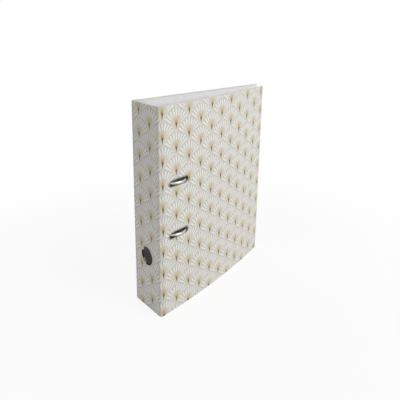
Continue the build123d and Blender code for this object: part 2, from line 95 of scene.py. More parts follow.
def add_node(
    tree: Tree,
    kind: str,
    inputs: Mapping[int | str, object] | Sequence[object] = (),
    **settings: object,
) -> bpy.types.Node:
    """Add a node, set its settings, and fill or link its inputs.

    Args:
        tree: Node tree that gets the node.
        kind: Blender's type name of the node.
        inputs: Sockets to link or values to set, in order or by name or number. None leaves the
            node's own value.
        **settings: Properties of the node.

    Returns:
        The new node.
    """
    node = tree.nodes.new(kind)
    for name, value in settings.items():
        setattr(node, name, value)
    pairs = inputs.items() if isinstance(inputs, Mapping) else enumerate(inputs)
    for key, value in pairs:
        if isinstance(value, Socket):
            tree.links.new(value, node.inputs[key])
        elif value is not None:
            node.inputs[key].default_value = value
    return node


# ---- Finishes ----

SHEET_MAP = "sheet"
CLOUD_SPREAD = (0.3, 0.7)


@dataclass(frozen=True)
class Finish:
    """A finish of the real object, made as one material."""

    name: str

    def shader_inputs(self, tree: Tree) -> dict[str, object]:
        """Build the finish's nodes, and give values and sockets by the shader's input names."""
        raise NotImplementedError

    def shader(self, tree: Tree) -> Socket:
        """Build the shader, which is a Principled one in most finishes."""
        return add_node(tree, "ShaderNodeBsdfPrincipled", self.shader_inputs(tree)).outputs[0]

    def material(self) -> bpy.types.Material:
        """Make the material the first time, and give the same one afterwards.

        Returns:
            The material of this finish.
        """
        known = bpy.data.materials.get(self.name)
        if known is not None:
            return known
        material = bpy.data.materials.new(self.name)
        material.use_nodes = True
        tree = material.node_tree
        tree.nodes.clear()
        add_node(tree, "ShaderNodeOutputMaterial", [self.shader(tree)])
        return material


@dataclass(frozen=True)
class Mottle:
    """Noise of a real size on Object coordinates, drawn out upwards by its stretch."""

    size: float
    detail: float = 4.0
    roughness: float = 0.5
    stretch: float = 1.0

    def build(self, tree: Tree) -> Socket:
        """Build the noise.

        Args:
            tree: Node tree of the material.

        Returns:
            The noise, which seldom leaves CLOUD_SPREAD.
        """
        place = add_node(tree, "ShaderNodeTexCoord").outputs["Object"]
        scale = (1.0, 1.0, 1 / self.stretch)
        turned = add_node(tree, "ShaderNodeMapping", {"Vector": place, "Scale": scale})
        inputs = {
            "Vector": turned.outputs[0],
            "Scale": 1 / (self.size * METRES),
            "Detail": self.detail,
            "Roughness": self.roughness,
        }
        return add_node(tree, "ShaderNodeTexNoise", inputs).outputs[0]


@dataclass(frozen=True)
class FanPrintedPaper(Finish):
    """Offset-printed paper under a matt film: overlapping fans with a gold flame and a dark dart.

    The eye sees pale fans of fine radiating petals, a soft gold glow over each dart, and the even,
    slightly satin surface that the film gives. The film follows the board under it in a faint
    pebble of about a millimetre, and gold ink lies a little warmer in some fans than in others.
    """

    name: str = "fan_printed_paper"
    column_pitch: float = 27.0
    row_pitch: float = 34.0
    fan_radius: float = 27.0
    first_column: float = 8.6
    first_row: float = -3.0
    petals: float = 13.0
    paper: str = "CDC9C0"
    unprinted: str = "DAD8D3"
    petal: str = "E1E0DC"
    petal_line: str = "BEBAB2"
    bead: str = "A39C8C"
    cream: str = "D8CFB3"
    gold: str = "B2A164"
    rose_gold: str = "BC9E75"
    dart: str = "534830"
    warm_patch: float = 45.0
    warm_levels: tuple[float, float] = (0.42, 0.58)
    pebble: Mottle = Mottle(1.2, detail=3.0)
    relief: tuple[float, float] = (0.12, 0.05)
    gloss: tuple[float, float] = (0.46, 0.56)
    specular: float = 0.35
    bleed: float = 0.3
    sheet_top: float = 318.0
    sheet_end: float = 636.65

    def sums(self) -> list[Sum]:
        """Give the sums that find a point's place in its own fan.

        The fans are circles on a staggered lattice and each lies over those above it, like fish
        scales, so a point belongs to the lowest circle that holds it. In each of the two column
        sets, that is the first centre at or above the point less the half chord of the circle.
        r is 1 on the fan's rim and angle is 0 straight up. spoke is 0 along the middle of a petal
        and 1 on the line between two, and folded is how far a point lies over the board's edge.

        Returns:
            Rows of a result's name, its operation and its inputs.
        """
        lift = self.fan_radius / self.row_pitch
        steps = [
            ("column", "SUBTRACT", ("s", self.first_column)),
            ("column", "DIVIDE", ("column", self.column_pitch)),
            ("row", "SUBTRACT", ("z", self.first_row)),
            ("row", "DIVIDE", ("row", self.row_pitch)),
            ("even_x", "WRAP", ("column", 1.0, -1.0)),
            ("odd_x", "ADD", ("column", 1.0)),
            ("odd_x", "WRAP", ("odd_x", 1.0, -1.0)),
        ]
        for x, y, shift in (("even_x", "even_y", 0.0), ("odd_x", "odd_y", 0.5)):
            steps += [
                ("chord", "MULTIPLY", (x, x)),
                ("chord", "SUBTRACT", (1.0, "chord")),
                ("chord", "SQRT", ("chord",)),
                (y, "MULTIPLY_ADD", ("chord", -lift, "row")),
                (y, "SUBTRACT", (y, shift)),
                (y, "CEIL", (y,)),
                (y, "ADD", (y, shift)),
            ]
        return steps + [
            ("is_even", "LESS_THAN", ("even_y", "odd_y")),
            ("x", "SUBTRACT", ("even_x", "odd_x")),
            ("x", "MULTIPLY_ADD", ("x", "is_even", "odd_x")),
            ("centre_y", "MINIMUM", ("even_y", "odd_y")),
            ("y", "SUBTRACT", ("row", "centre_y")),
            ("y", "DIVIDE", ("y", lift)),
            ("x2", "MULTIPLY", ("x", "x")),
            ("r", "MULTIPLY_ADD", ("y", "y", "x2")),
            ("r", "SQRT", ("r",)),
            ("angle", "ARCTAN2", ("x", "y")),
            ("off_middle", "ABSOLUTE", ("x",)),
            ("spoke", "MULTIPLY", ("angle", 2 * self.petals / math.pi)),
            ("spoke", "PINGPONG", ("spoke", 1.0)),
            # an oval round the dart, a flame that widens upwards and a dart that narrows downwards
            ("oval_x", "DIVIDE", ("x", 0.40)),
            ("oval_x", "MULTIPLY", ("oval_x", "oval_x")),
            ("oval_y", "SUBTRACT", ("y", 0.32)),
            ("oval_y", "DIVIDE", ("oval_y", 0.33)),
            ("oval_r", "MULTIPLY_ADD", ("oval_y", "oval_y", "oval_x")),
            ("oval_r", "SQRT", ("oval_r",)),
            ("flame_width", "MULTIPLY_ADD", ("y", 0.50, 0.03)),
            ("flame_core", "MULTIPLY", ("flame_width", 0.45)),
            ("dart_width", "MAXIMUM", ("y", 0.0)),
            ("dart_width", "MULTIPLY_ADD", ("dart_width", 0.26, 0.022)),
            ("dart_core", "MULTIPLY", ("dart_width", 0.85)),
            ("over_top", "SUBTRACT", ("z", self.sheet_top)),
            ("over_end", "SUBTRACT", ("s", self.sheet_end)),
            ("over_foot", "MULTIPLY", ("z", -1.0)),
            ("over_start", "MULTIPLY", ("s", -1.0)),
            ("folded", "MAXIMUM", ("over_top", "over_foot")),
            ("folded", "MAXIMUM", ("folded", "over_start")),
            ("folded", "MAXIMUM", ("folded", "over_end")),
        ]

    def layers(self, flame_ink: Socket) -> list[tuple[str | Socket, float, tuple[Rise, ...]]]:
        """Give the inks in their printing order, each with what its mask is made of.

        A mask is the ink's share times smooth rises from 0 to 1. Each rise is that of one sum
        from its first level to its second.

        Args:
            flame_ink: Colour of the flame.

        Returns:
            Rows of an ink, its share and its rises.
        """
        tips = ("r", 0.975, 0.955)
        roots = ("r", 0.12, 0.26)
        lines = ("spoke", 0.74, 0.84)
        flame_sides = ("off_middle", "flame_width", "flame_core")
        dart_sides = ("off_middle", "dart_width", "dart_core")
        return [
            # pale petals, the lines between them and the thin scalloped rim
            (self.petal, 1.0, (("spoke", 0.64, 0.52), ("r", 0.14, 0.18), tips)),
            (self.petal_line, 0.7, (lines, roots)),
            (self.petal_line, 0.05, (("r", 0.965, 0.975),)),
            # small dark beads at the lines' outer ends, and browner gaps at their roots
            (self.bead, 0.6, (("r", 0.88, 0.90), tips, lines)),
            (self.bead, 0.6, (("r", 0.55, 0.25), lines, roots)),
            # a smooth oval that hides the petals' roots, and its glow
            (self.paper, 1.0, (("oval_r", 0.98, 0.92),)),
            (self.cream, 0.7, (("oval_r", 1.1, 0.2),)),
            # the flame fades upwards, and the dart ends in a thin stem
            (flame_ink, 0.85, (flame_sides, ("y", 0.08, 0.18), ("y", 0.62, 0.24))),
            (self.dart, 0.9, (dart_sides, ("y", -0.10, 0.02), ("y", 0.30, 0.18))),
            # the print stops where the paper is folded over an edge
            (self.unprinted, 1.0, (("folded", -self.bleed, 0.0),)),
        ]

    def shader_inputs(self, tree: Tree) -> dict[str, object]:
        """Build the print over the paper's own sheet coordinates, and the film.

        Args:
            tree: Node tree of the material.

        Returns:
            Values and sockets for the Principled shader, by input name.
        """
        sheet = add_node(tree, "ShaderNodeUVMap", uv_map=SHEET_MAP).outputs[0]
        sizes = [sheet, (1 / METRES,) * 3]
        sheet = add_node(tree, "ShaderNodeVectorMath", sizes, operation="MULTIPLY").outputs[0]
        axes = add_node(tree, "ShaderNodeSeparateXYZ", [sheet]).outputs
        found: dict[object, Socket] = {"s": axes[0], "z": axes[1]}
        for name, operation, terms in self.sums():
            values = [found.get(term, term) for term in terms]
            found[name] = add_node(tree, "ShaderNodeMath", values, operation=operation).outputs[0]
        patch = add_node(tree, "ShaderNodeTexNoise", {"Vector": sheet, "Scale": 1 / self.warm_patch})
        warmth = add_node(tree, "ShaderNodeMapRange", [patch.outputs[0], *self.warm_levels])
        golds = {0: warmth.outputs[0], 6: linear(self.gold), 7: linear(self.rose_gold)}
        flame_ink = add_node(tree, "ShaderNodeMix", golds, data_type="RGBA").outputs[2]
        colour: object = linear(self.paper)
        for ink, share, rises in self.layers(flame_ink):
            mask: object = share
            for terms in rises:
                levels = [found.get(term, term) for term in terms]
                rise = add_node(tree, "ShaderNodeMapRange", levels, interpolation_type="SMOOTHSTEP")
                shares = [rise.outputs[0], mask]
                mask = add_node(tree, "ShaderNodeMath", shares, operation="MULTIPLY").outputs[0]
            inks = {0: mask, 6: colour, 7: linear(ink) if isinstance(ink, str) else ink}
            colour = add_node(tree, "ShaderNodeMix", inks, data_type="RGBA").outputs[2]
        pebble, (strength, depth) = self.pebble.build(tree), self.relief
        relief = {"Strength": strength, "Distance": depth * METRES, "Height": pebble}
        gloss = add_node(tree, "ShaderNodeMapRange", [pebble, *CLOUD_SPREAD, *self.gloss])
        return {
            "Base Color": colour,
            "Roughness": gloss.outputs[0],
            "Specular IOR Level": self.specular,
            "Normal": add_node(tree, "ShaderNodeBump", relief).outputs[0],
        }


@dataclass(frozen=True, kw_only=True)
class MottledFinish(Finish):
    """A finish of two tones that run into each other in clouds, with a fine grain over them.

    The first tone turns into the second between the two levels of the clouds. A roughness of two
    numbers goes from one to the other over the clouds' spread. The relief is the strength of the
    grain and its depth.
    """

    tones: tuple[str, str]
    clouds: Mottle
    levels: tuple[float, float]
    roughness: tuple[float, ...]
    grain: Mottle | None = None
    relief: tuple[float, float] = (0.0, 0.0)
    metallic: float | None = None
    specular: float | None = None
    ior: float | None = None

    def shader_inputs(self, tree: Tree) -> dict[str, object]:
        """Build the clouds, the gloss and the grain.

        Args:
            tree: Node tree of the material.

        Returns:
            Values and sockets for the Principled shader, by input name.
        """
        clouds = self.clouds.build(tree)
        share = add_node(tree, "ShaderNodeMapRange", [clouds, *self.levels]).outputs[0]
        tones = {0: share, 6: linear(self.tones[0]), 7: linear(self.tones[1])}
        inputs = {
            "Base Color": add_node(tree, "ShaderNodeMix", tones, data_type="RGBA").outputs[2],
            "Roughness": self.roughness[0],
            "Metallic": self.metallic,
            "Specular IOR Level": self.specular,
            "IOR": self.ior,
        }
        if len(self.roughness) > 1:
            ends = [clouds, *CLOUD_SPREAD, *self.roughness]
            inputs["Roughness"] = add_node(tree, "ShaderNodeMapRange", ends).outputs[0]
        if self.grain is not None:
            grain, (strength, depth) = self.grain.build(tree), self.relief
            relief = {"Strength": strength, "Distance": depth * METRES, "Height": grain}
            inputs["Normal"] = add_node(tree, "ShaderNodeBump", relief).outputs[0]
        return inputs


@dataclass(frozen=True)
class LiningPaper(MottledFinish):
    """Uncoated paper pasted on greyboard: pale grey, cloudy with fibres and quite matt."""

    name: str = "pasted_lining_paper"
    tones: tuple[str, str] = ("EDECED", "E7E6E7")
    clouds: Mottle = Mottle(14.0, detail=6.0, roughness=0.65)
    levels: tuple[float, float] = (0.35, 0.65)
    roughness: tuple[float, ...] = (0.8,)
    grain: Mottle = Mottle(0.5)
    relief: tuple[float, float] = (0.25, 0.05)
    specular: float = 0.3


@dataclass(frozen=True)
class Greyboard(MottledFinish):
    """Recycled greyboard, calendered: brown-grey, flecked with dark and light fibres, and matt."""

    name: str = "calendered_greyboard"
    tones: tuple[str, str] = ("A39B8E", "857D71")
    clouds: Mottle = Mottle(0.8, detail=8.0, roughness=0.7)
    levels: tuple[float, float] = (0.45, 0.7)
    roughness: tuple[float, ...] = (0.9,)
    grain: Mottle = Mottle(0.8, detail=8.0, roughness=0.7)
    relief: tuple[float, float] = (0.3, 0.1)


@dataclass(frozen=True)
class PlatedSteel(MottledFinish):
    """Bright nickel on steel: a cool mirror, faintly stained, with fine marks running up the file.

    Drawn wire is the brighter. Pressed strip keeps a cloudier gloss from its rolling. The marks
    are drawn coarser than real ones, or they would not show.
    """

    tones: tuple[str, str] = ("C9C5BF", "BDB9B3")
    clouds: Mottle = Mottle(6.0, detail=5.0)
    levels: tuple[float, float] = (0.4, 0.7)
    roughness: tuple[float, ...] = (0.10, 0.18)
    grain: Mottle = Mottle(0.35, detail=2.0, stretch=1 / 0.06)
    relief: tuple[float, float] = (0.03, 0.05)
    metallic: float = 1.0


@dataclass(frozen=True)
class MouldedNylon(MottledFinish):
    """Moulded nylon with a self-coloured black: smooth, faintly cloudy and half glossy."""

    name: str = "moulded_nylon"
    tones: tuple[str, str] = ("2B2B2D", "434345")
    clouds: Mottle = Mottle(1.5)
    levels: tuple[float, float] = (0.45, 0.75)
    roughness: tuple[float, ...] = (0.35, 0.5)
    ior: float = 1.53


PRINTED_PAPER = FanPrintedPaper()
LINING_PAPER = LiningPaper()
GREYBOARD = Greyboard()
NICKEL_WIRE = PlatedSteel("bright_nickel_wire")
NICKEL_SHEET = PlatedSteel(
    "bright_nickel_strip",
    tones=("AFACA7", "A09D98"),
    roughness=(0.17, 0.306),
    relief=(0.05, 0.05),
)
ROLLER_NYLON = MouldedNylon()


class Slot(Enum):
    """Names of the record's material slots."""

    PRINTED_PAPER = "printed_paper"
    LINING_PAPER = "lining_paper"
    NICKEL_SHEET = "nickel_sheet"


# ---- Surfaces ----

SMOOTH_ANGLE = 40.0
WELD = 2e-6
SLIVER = 1e-7


@dataclass
class Skin:
    """Grids of points that are gathered, welded and made into one mesh object."""

    name: str
    points: list[Array] = field(default_factory=list)
    maps: list[Array] = field(default_factory=list)
    faces: list[Array] = field(default_factory=list)

    def add_grid(
        self,
        points: Array,
        outward: Array,
        sheet: Array | None = None,
        keep: Array | None = None,
    ) -> None:
        """Add a grid of quads, turned so that its first kept face looks outward.

        Args:
            points: Places in millimetres, shape (rows, columns, 3).
            outward: A direction on the outer side of the first kept face.
            sheet: Sheet coordinates in millimetres, shape (rows, columns, 2), or none of them.
            keep: Which quads are made, shape (rows - 1, columns - 1), or all of them.
        """
        flat = points.reshape(-1, 3)
        index = np.arange(len(flat)).reshape(points.shape[:2])
        quads = np.stack((index[:-1, :-1], index[1:, :-1], index[1:, 1:], index[:-1, 1:]), axis=-1)
        quads = quads[keep] if keep is not None else quads.reshape(-1, 4)
        a, b, c, d = flat[quads[0]]
        if np.dot(np.cross(c - a, d - b), outward) < 0:
            quads = quads[:, ::-1]
        self.faces.append(quads + sum(len(grid) for grid in self.points))
        self.points.append(flat)
        self.maps.append(np.zeros((len(flat), 2)) if sheet is None else sheet.reshape(-1, 2))

    def make(self) -> Piece:
        """Weld the grids and make the object, smooth but for its sharp edges.

        Returns:
            The new object, at the origin, with its sheet coordinates as a UV map.
        """
        points = np.concatenate(self.points) * METRES
        faces = np.concatenate(self.faces)
        mesh = bpy.data.meshes.new(self.name)
        mesh.from_pydata(points.tolist(), [], faces.tolist())
        sheet = np.concatenate(self.maps) * METRES
        layer = mesh.uv_layers.new(name=SHEET_MAP)
        layer.data.foreach_set("uv", sheet[faces.ravel()].astype(np.float32).ravel())
        edit = bmesh.new()
        edit.from_mesh(mesh)
        bmesh.ops.remove_doubles(edit, verts=edit.verts, dist=WELD)
        bmesh.ops.dissolve_degenerate(edit, edges=edit.edges, dist=SLIVER)
        edit.to_mesh(mesh)
        edit.free()
        mesh.polygons.foreach_set("use_smooth", np.ones(len(mesh.polygons), bool))
        mesh.set_sharp_from_angle(angle=math.radians(SMOOTH_ANGLE))
        made = bpy.data.objects.new(self.name, mesh)
        bpy.context.scene.collection.objects.link(made)
        return made


def thicken(piece: Piece, thickness: float) -> Piece:
    """Give a skin its thickness behind its outer face, and keep the result as its mesh.

    Args:
        piece: Object whose faces look outwards.
        thickness: Thickness in millimetres.

    Returns:
        The same object.
    """
    solid = piece.modifiers.new("thickness", "SOLIDIFY")
    solid.thickness = thickness * METRES
    solid.offset = -1.0
    solid.use_even_offset = True
    shown = piece.evaluated_get(bpy.context.evaluated_depsgraph_get())
    mesh = bpy.data.meshes.new_from_object(shown)
    piece.modifiers.clear()
    piece.data = mesh
    mesh.name = piece.name
    return piece


def dress(piece: Piece, finish: Finish) -> None:
    """Put one finish on every face of an object, and report it.

    Args:
        piece: Object to dress.
        finish: Its finish.
    """
    if piece.material_slots:
        for place in piece.material_slots:
            place.material = finish.material()
    else:
        piece.data.materials.append(finish.material())
    LOG.info("%s: %s, %d faces", piece.name, finish.name, len(piece.data.polygons))


def settle(piece: Piece, finish: Finish, node: str, body: str | None = None) -> None:
    """Dress a new piece, hide the CAD node that it stands for, and attach it to what carries it.

    Args:
        piece: Piece to settle.
        finish: Its finish.
        node: CAD node that the piece replaces.
        body: Body that it rides on, or None, which leaves it on no body.
    """
    dress(piece, finish)
    if body is not None:
        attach(piece, body)
    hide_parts(node)


# ---- Case wall ----


@dataclass(frozen=True)
class Hole:
    """A round-ended hole through the wall, longer along the stations; round if it has no length."""

    station: float
    height: float
    half_straight: float
    radius: float
    margin: float = 5.0
    along: int = 12
    up: int = 8
    rings: int = 3

    @property
    def centre(self) -> Array:
        """Sheet coordinates of the middle of the hole."""
        return np.array([self.station, self.height])

    @property
    def reach(self) -> Array:
        """Half width and half height of the frame of grid lines round the hole."""
        return np.array([self.half_straight, 0.0]) + self.radius + self.margin

    def lines(self) -> tuple[Array, Array]:
        """Stations and heights of the grid lines round the hole."""
        spans = zip(self.centre, self.reach, (self.along, self.up))
        return tuple(middle + np.linspace(-half, half, count + 1) for middle, half, count in spans)

    def surround(self) -> Array:
        """Rings of places from the frame of grid lines in to the edge of the hole.

        A place over the straight sides goes across to them, and one past them goes towards the
        centre of the nearer round end.

        Returns:
            Sheet coordinates, shape (rings + 1, n, 2).
        """
        grid = np.stack(np.meshgrid(*self.lines(), indexing="ij"), -1)
        border = np.concatenate([grid[:-1, 0], grid[-1, :-1], grid[:0:-1, -1], grid[0, ::-1]])
        away = border - self.centre
        axis = np.clip(away, [-self.half_straight, 0.0], [self.half_straight, 0.0])
        out = away - axis
        out /= np.linalg.norm(out, axis=1, keepdims=True)
        edge = self.centre + axis + out * self.radius
        share = np.linspace(0, 1, self.rings + 1)[:, None, None]
        return border * (1 - share) + edge * share


@dataclass(frozen=True)
class CaseWall:
    """The line of the case wall round its outside, from which every paper surface is made."""

    height: float = 318.0
    cover_depth: float = 285.0
    spine_width: float = 70.0
    spine_lean: float = 6.0
    front_slope: float = 3.3
    front_bow: float = 7.3
    crease_radius: float = 3.5
    board_under: float = 2.3
    covering: float = 0.3
    lining: float = 0.2
    turn_in: float = 15.0
    lining_margin: float = 1.5
    edge_round: float = 0.8
    last_run: int = 4

    @property
    def bow_radius(self) -> float:
        """Radius of the bowed front cover, from its chord and its rise."""
        return self.cover_depth**2 / (8 * self.front_bow) + self.front_bow / 2

    @property
    def turns(self) -> tuple[float, float]:
        """Angles that the wall turns through at the front and the back crease, in radians."""
        front = 90 + self.spine_lean + self.front_slope
        return math.radians(front), math.radians(90 - self.spine_lean)

    @property
    def setbacks(self) -> list[float]:
        """Distances from the front and the back sharp corner to where their creases begin."""
        return [self.crease_radius * math.tan(turn / 2) for turn in self.turns]

    @property
    def runs(self) -> tuple[tuple[float, float | None], ...]:
        """Runs of the wall: the front, its crease, the spine, its crease and the back.

        Returns:
            Length and radius of each run in millimetres, with None for the radius of a flat one.
        """
        (front_turn, back_turn), (front_set, back_set) = self.turns, self.setbacks
        return (
            (self.cover_depth - front_set, self.bow_radius),
            (self.crease_radius * front_turn, self.crease_radius),
            (self.spine_width - front_set - back_set, None),
            (self.crease_radius * back_turn, self.crease_radius),
            (self.cover_depth - back_set, None),
        )

    @property
    def joints(self) -> Array:
        """Stations where the runs begin and end."""
        return np.concatenate([[0.0], np.cumsum([length for length, _ in self.runs])])

    @property
    def headings(self) -> list[float]:
        """Heading of the wall at the start of each run, in radians, 0 along the back cover."""
        turns = [length / radius if radius else 0.0 for length, radius in self.runs]
        return [sum(turns[i:]) for i in range(len(turns))]

    def run_at(self, station: Array | float) -> Array:
        """Number of the run that each station is on."""
        return np.clip(np.searchsorted(self.joints, station, side="right") - 1, 0, self.last_run)

    def travel(self, run: int, station: Array | float) -> tuple[Array, Array]:
        """Travel along a straight or clockwise run.

        On an arc the way forward is radius times sin(turn), and the way to the left is radius
        times (cos(turn) - 1), where turn is the distance over the radius.

        Args:
            run: Number of the run.
            station: Stations on the run.

        Returns:
            Displacements from the run's start, shape (n, 2), and headings at the stations.
        """
        radius, heading = self.runs[run][1], self.headings[run]
        x = np.asarray(station, float) - self.joints[run]
        turn = x / radius if radius else 0 * x
        ahead = radius * np.sin(turn) if radius else x
        left = radius * (np.cos(turn) - 1) if radius else 0 * x
        c, s = math.cos(heading), math.sin(heading)
        return np.stack([c * ahead - s * left, s * ahead + c * left], axis=-1), heading - turn

    @property
    def starts(self) -> Array:
        """Start of each run in the plan view, chained back from the start of the back cover.

        Returns:
            Places in millimetres, shape (5, 2).
        """
        low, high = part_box("back_covering")
        places = [np.array([low.x, high.y]) / METRES]
        for run in (3, 2, 1, 0):
            places.insert(0, places[0] - self.travel(run, self.joints[run + 1])[0])
        return np.array(places)

    def place(self, station: Array, depth: Array | float, height: Array | float) -> Array:
        """Find points of the wall.

        Args:
            station: Stations round the outside.
            depth: Depths inwards from the outside.
            height: Heights above the table.

        Returns:
            Points in millimetres, with the arrays' common shape and 3 numbers each.
        """
        station, depth, height = np.broadcast_arrays(station, depth, height)
        run, starts = self.run_at(station), self.starts
        points = np.stack([np.zeros(station.shape), np.zeros(station.shape), height], -1)
        for i in range(len(self.runs)):
            here = run == i
            step, heading = self.travel(i, station[here])
            inwards = np.stack([np.sin(heading), -np.cos(heading)], -1)
            points[here, :2] = starts[i] + step + inwards * depth[here][:, None]
        return points

    def axes(self, station: float) -> tuple[Array, Array]:
        """Directions along and out of the wall at a station.

        Args:
            station: Station on a run.

        Returns:
            Unit vectors forward along the wall and out of the case.
        """
        _, heading = self.travel(int(self.run_at(station)), station)
        c, s = math.cos(heading), math.sin(heading)
        return np.array([c, s, 0.0]), np.array([-s, c, 0.0])

    def front_station(self, x: float) -> float:
        """Station of the front cover over a place x, from the bow's own circle.

        Args:
            x: Place in millimetres.

        Returns:
            The station.
        """
        heading = self.headings[0]
        middle = self.starts[0][0] + self.bow_radius * math.sin(heading)
        return (heading - math.pi - math.asin((x - middle) / self.bow_radius)) * self.bow_radius


class End(Enum):
    """Which end of a panel is free, with the paper folded round it, as a sign along the wall."""

    START = -1
    NEITHER = 0
    FINISH = 1


@dataclass
class Panel:
    """One run of the case wall with its printed covering outside and its lining inside.

    Its grid has columns about a spacing apart and rows about a row spacing apart, and a close row
    of needed lines keeps the even ones out. A paper is a little thinner than its room, by its
    fill, and so it doesn't touch the board.
    """

    wall: CaseWall
    name: str
    run: int
    free: End = End.NEITHER
    holes: tuple[Hole, ...] = ()
    spacing: float = 6.0
    row_spacing: float = 24.0
    line_gap: float = 1.0
    row_of_lines: int = 5
    turn_in_lines: tuple[float, float] = (1.2, 8.0)
    step: float = 0.7
    step_foot: float = 0.1
    fill: float = 0.9

    @property
    def first(self) -> float:
        """Station where the panel begins."""
        return float(self.wall.joints[self.run])

    @property
    def last(self) -> float:
        """Station where the panel ends, just inside its own run."""
        return float(self.wall.joints[self.run + 1]) - 1e-9

    def hold(self, station: Array | float, inset: Array | float) -> Array | float:
        """Hold stations at least an inset away from the free end.

        Args:
            station: Stations on the panel.
            inset: Least distance from the free end.

        Returns:
            The stations, moved where they have to be.
        """
        if self.free is End.START:
            return np.maximum(station, self.first + inset)
        if self.free is End.FINISH:
            return np.minimum(station, self.last - inset)
        return station

    def inward(self, s: Array, z: Array) -> Array:
        """Distance inwards from the nearest folded edge."""
        ends = {End.START: s - self.first, End.FINISH: self.last - s}
        return np.minimum(np.minimum(z, self.wall.height - z), ends.get(self.free, np.inf))

    def lines(self, low: float, high: float, spacing: float, extra: Sequence[Array]) -> Array:
        """Grid lines between two values, with those of the holes and folds put in.

        Even lines that fall too near a needed one give way to it.

        Args:
            low: First line.
            high: Last line.
            spacing: Rough distance between even lines.
            extra: Lines that must be there.

        Returns:
            The lines in order.
        """
        needed = np.unique(np.round(np.concatenate([[low, high], *extra]), 6))
        needed = needed[(needed >= low - 1e-6) & (needed <= high + 1e-6)]
        even = np.linspace(low, high, max(2, int(round((high - low) / spacing)) + 1))
        clear = np.min(np.abs(even[:, None] - needed[None, :]), axis=1) > self.line_gap
        for row in extra:
            if len(row) >= self.row_of_lines:
                clear &= (even < row.min()) | (even > row.max())
        return np.sort(np.concatenate([needed, even[clear]]))

    def grid(self, inset: float, columns: list[Array], rows: list[Array]) -> tuple[Array, Array]:
        """Find the grid lines of one face of the panel.

        Args:
            inset: Distance from the folded edges to the face.
            columns: Stations that need a line, beside those of the holes.
            rows: Heights that need a line, beside those of the holes.

        Returns:
            Stations and heights of the lines.
        """
        columns = [hole.lines()[0] for hole in self.holes] + columns
        rows = [hole.lines()[1] for hole in self.holes] + rows
        low, high = self.hold(self.first, inset), self.hold(self.last, inset)
        return (
            self.lines(low, high, self.spacing, columns),
            self.lines(inset, self.wall.height - inset, self.row_spacing, rows),
        )

    def add_face(
        self,
        skin: Skin,
        lines: tuple[Array, Array],
        depth: Callable[[Array, Array], Array],
        side: float,
    ) -> None:
        """Add a face over its grid lines, with the panel's holes cut in it.

        The quads round a hole are left out, and rings of quads round its own outline take their
        place.

        Args:
            skin: Skin that gets the face.
            lines: Stations and heights of its grid lines.
            depth: Depth of the face at each station and height.
            side: 1 where it looks out of the case, and -1 where it looks in.
        """
        sheet = np.stack(np.meshgrid(*lines, indexing="ij"), -1)
        middle = (sheet[1:, 1:] + sheet[:-1, :-1]) / 2
        keep = np.ones(middle.shape[:2], bool)
        for hole in self.holes:
            keep &= ~np.all(np.abs(middle - hole.centre) < hole.reach, axis=-1)
        areas = [(sheet, lines[0][0], keep)]
        areas += [(hole.surround(), hole.station, None) for hole in self.holes]
        for area, station, kept in areas:
            s, z = area[..., 0], area[..., 1]
            outward = side * self.wall.axes(station)[1]
            skin.add_grid(self.wall.place(s, depth(s, z), z), outward, area, kept)

    def walks(self, stations: Array, heights: Array) -> list[tuple[Array, Array]]:
        """Walk the edges that the paper is folded round.

        A panel with a free end has one walk, along the top, round the corner, down the fore-edge,
        round the corner and back along the bottom. The others have one along the top and one
        along the bottom.

        Args:
            stations: Grid lines along the outer face.
            heights: Grid lines up the outer face.

        Returns:
            For each walk, the places on the edge of the flat outer face, shape (n, 2), and the
            unit directions across the fold, shape (n, 2).
        """
        top, bottom = heights[-1], heights[0]
        if self.free is End.NEITHER:
            flat = np.zeros(len(stations))
            return [
                (np.stack([stations, flat + z], -1), np.stack([flat, flat + way], -1))
                for z, way in ((top, 1.0), (bottom, -1.0))
            ]
        out = self.free.value
        along, down = stations[::out], heights[::-1]
        corner = np.linspace(math.pi / 2, 0, 5)
        up = np.full(len(along), math.pi / 2)
        turn = np.concatenate([up, corner, np.zeros(len(down)), -corner[::-1], -up])
        edge = np.full(len(down) + 2 * len(corner), along[-1])
        s = np.concatenate([along, edge, along[::-1]])
        ends = np.ones(len(along) + len(corner))
        z = np.concatenate([ends * top, down, ends * bottom])
        return [(np.stack([s, z], -1), np.stack([out * np.cos(turn), np.sin(turn)], -1))]

    def fold_profile(self) -> Array:
        """Cross-section of the paper's outer side where it is folded round the board.

        A quarter circle from the outer face, a flat edge, a quarter circle to the inner face, and
        the turn-in to its cut edge.

        Returns:
            Insets from the edge, depths, and distances along the paper from the flat face.
        """
        wall, r = self.wall, self.wall.edge_round
        under = wall.board_under + wall.covering
        bend = np.linspace(0, math.pi / 2, 6)
        near, far = self.turn_in_lines
        flat = [near, wall.lining_margin, far, wall.turn_in]
        insets = np.concatenate([r - r * np.sin(bend), r - r * np.cos(bend), flat])
        depths = [r - r * np.cos(bend), under - r + r * np.sin(bend), np.full(len(flat), under)]
        depths = np.concatenate(depths)
        steps = np.hypot(np.diff(insets), np.diff(depths))
        return np.stack([insets, depths, np.concatenate([[0.0], np.cumsum(steps)])])

    def covering(self) -> Piece:
        """Make the printed paper: the outer face, the folds round the edges and the turn-in.

        The fold is the profile carried along the walk. Where a point lies further in than the
        edge rounding it is held on the inner side of the mitre.

        Returns:
            The covering's object.
        """
        wall, r = self.wall, self.wall.edge_round
        columns = [np.array([self.first + wall.turn_in, self.last - wall.turn_in])]
        rows = [np.array([wall.turn_in, wall.height - wall.turn_in])]
        lines = self.grid(r, columns if self.free.value else [], rows)
        skin = Skin(f"{self.name}_printed_paper")
        self.add_face(skin, lines, lambda s, z: np.zeros_like(s), 1.0)
        inset, depth, run = self.fold_profile()
        within = np.where(inset > r, inset, 0.0)
        for base, way in self.walks(*lines):
            base, way = base[:, None], way[:, None]
            sheet = base + way * np.clip(r - inset, 0, None)[:, None]
            s = self.hold(sheet[..., 0], within)
            z = np.clip(sheet[..., 1], within, wall.height - within)
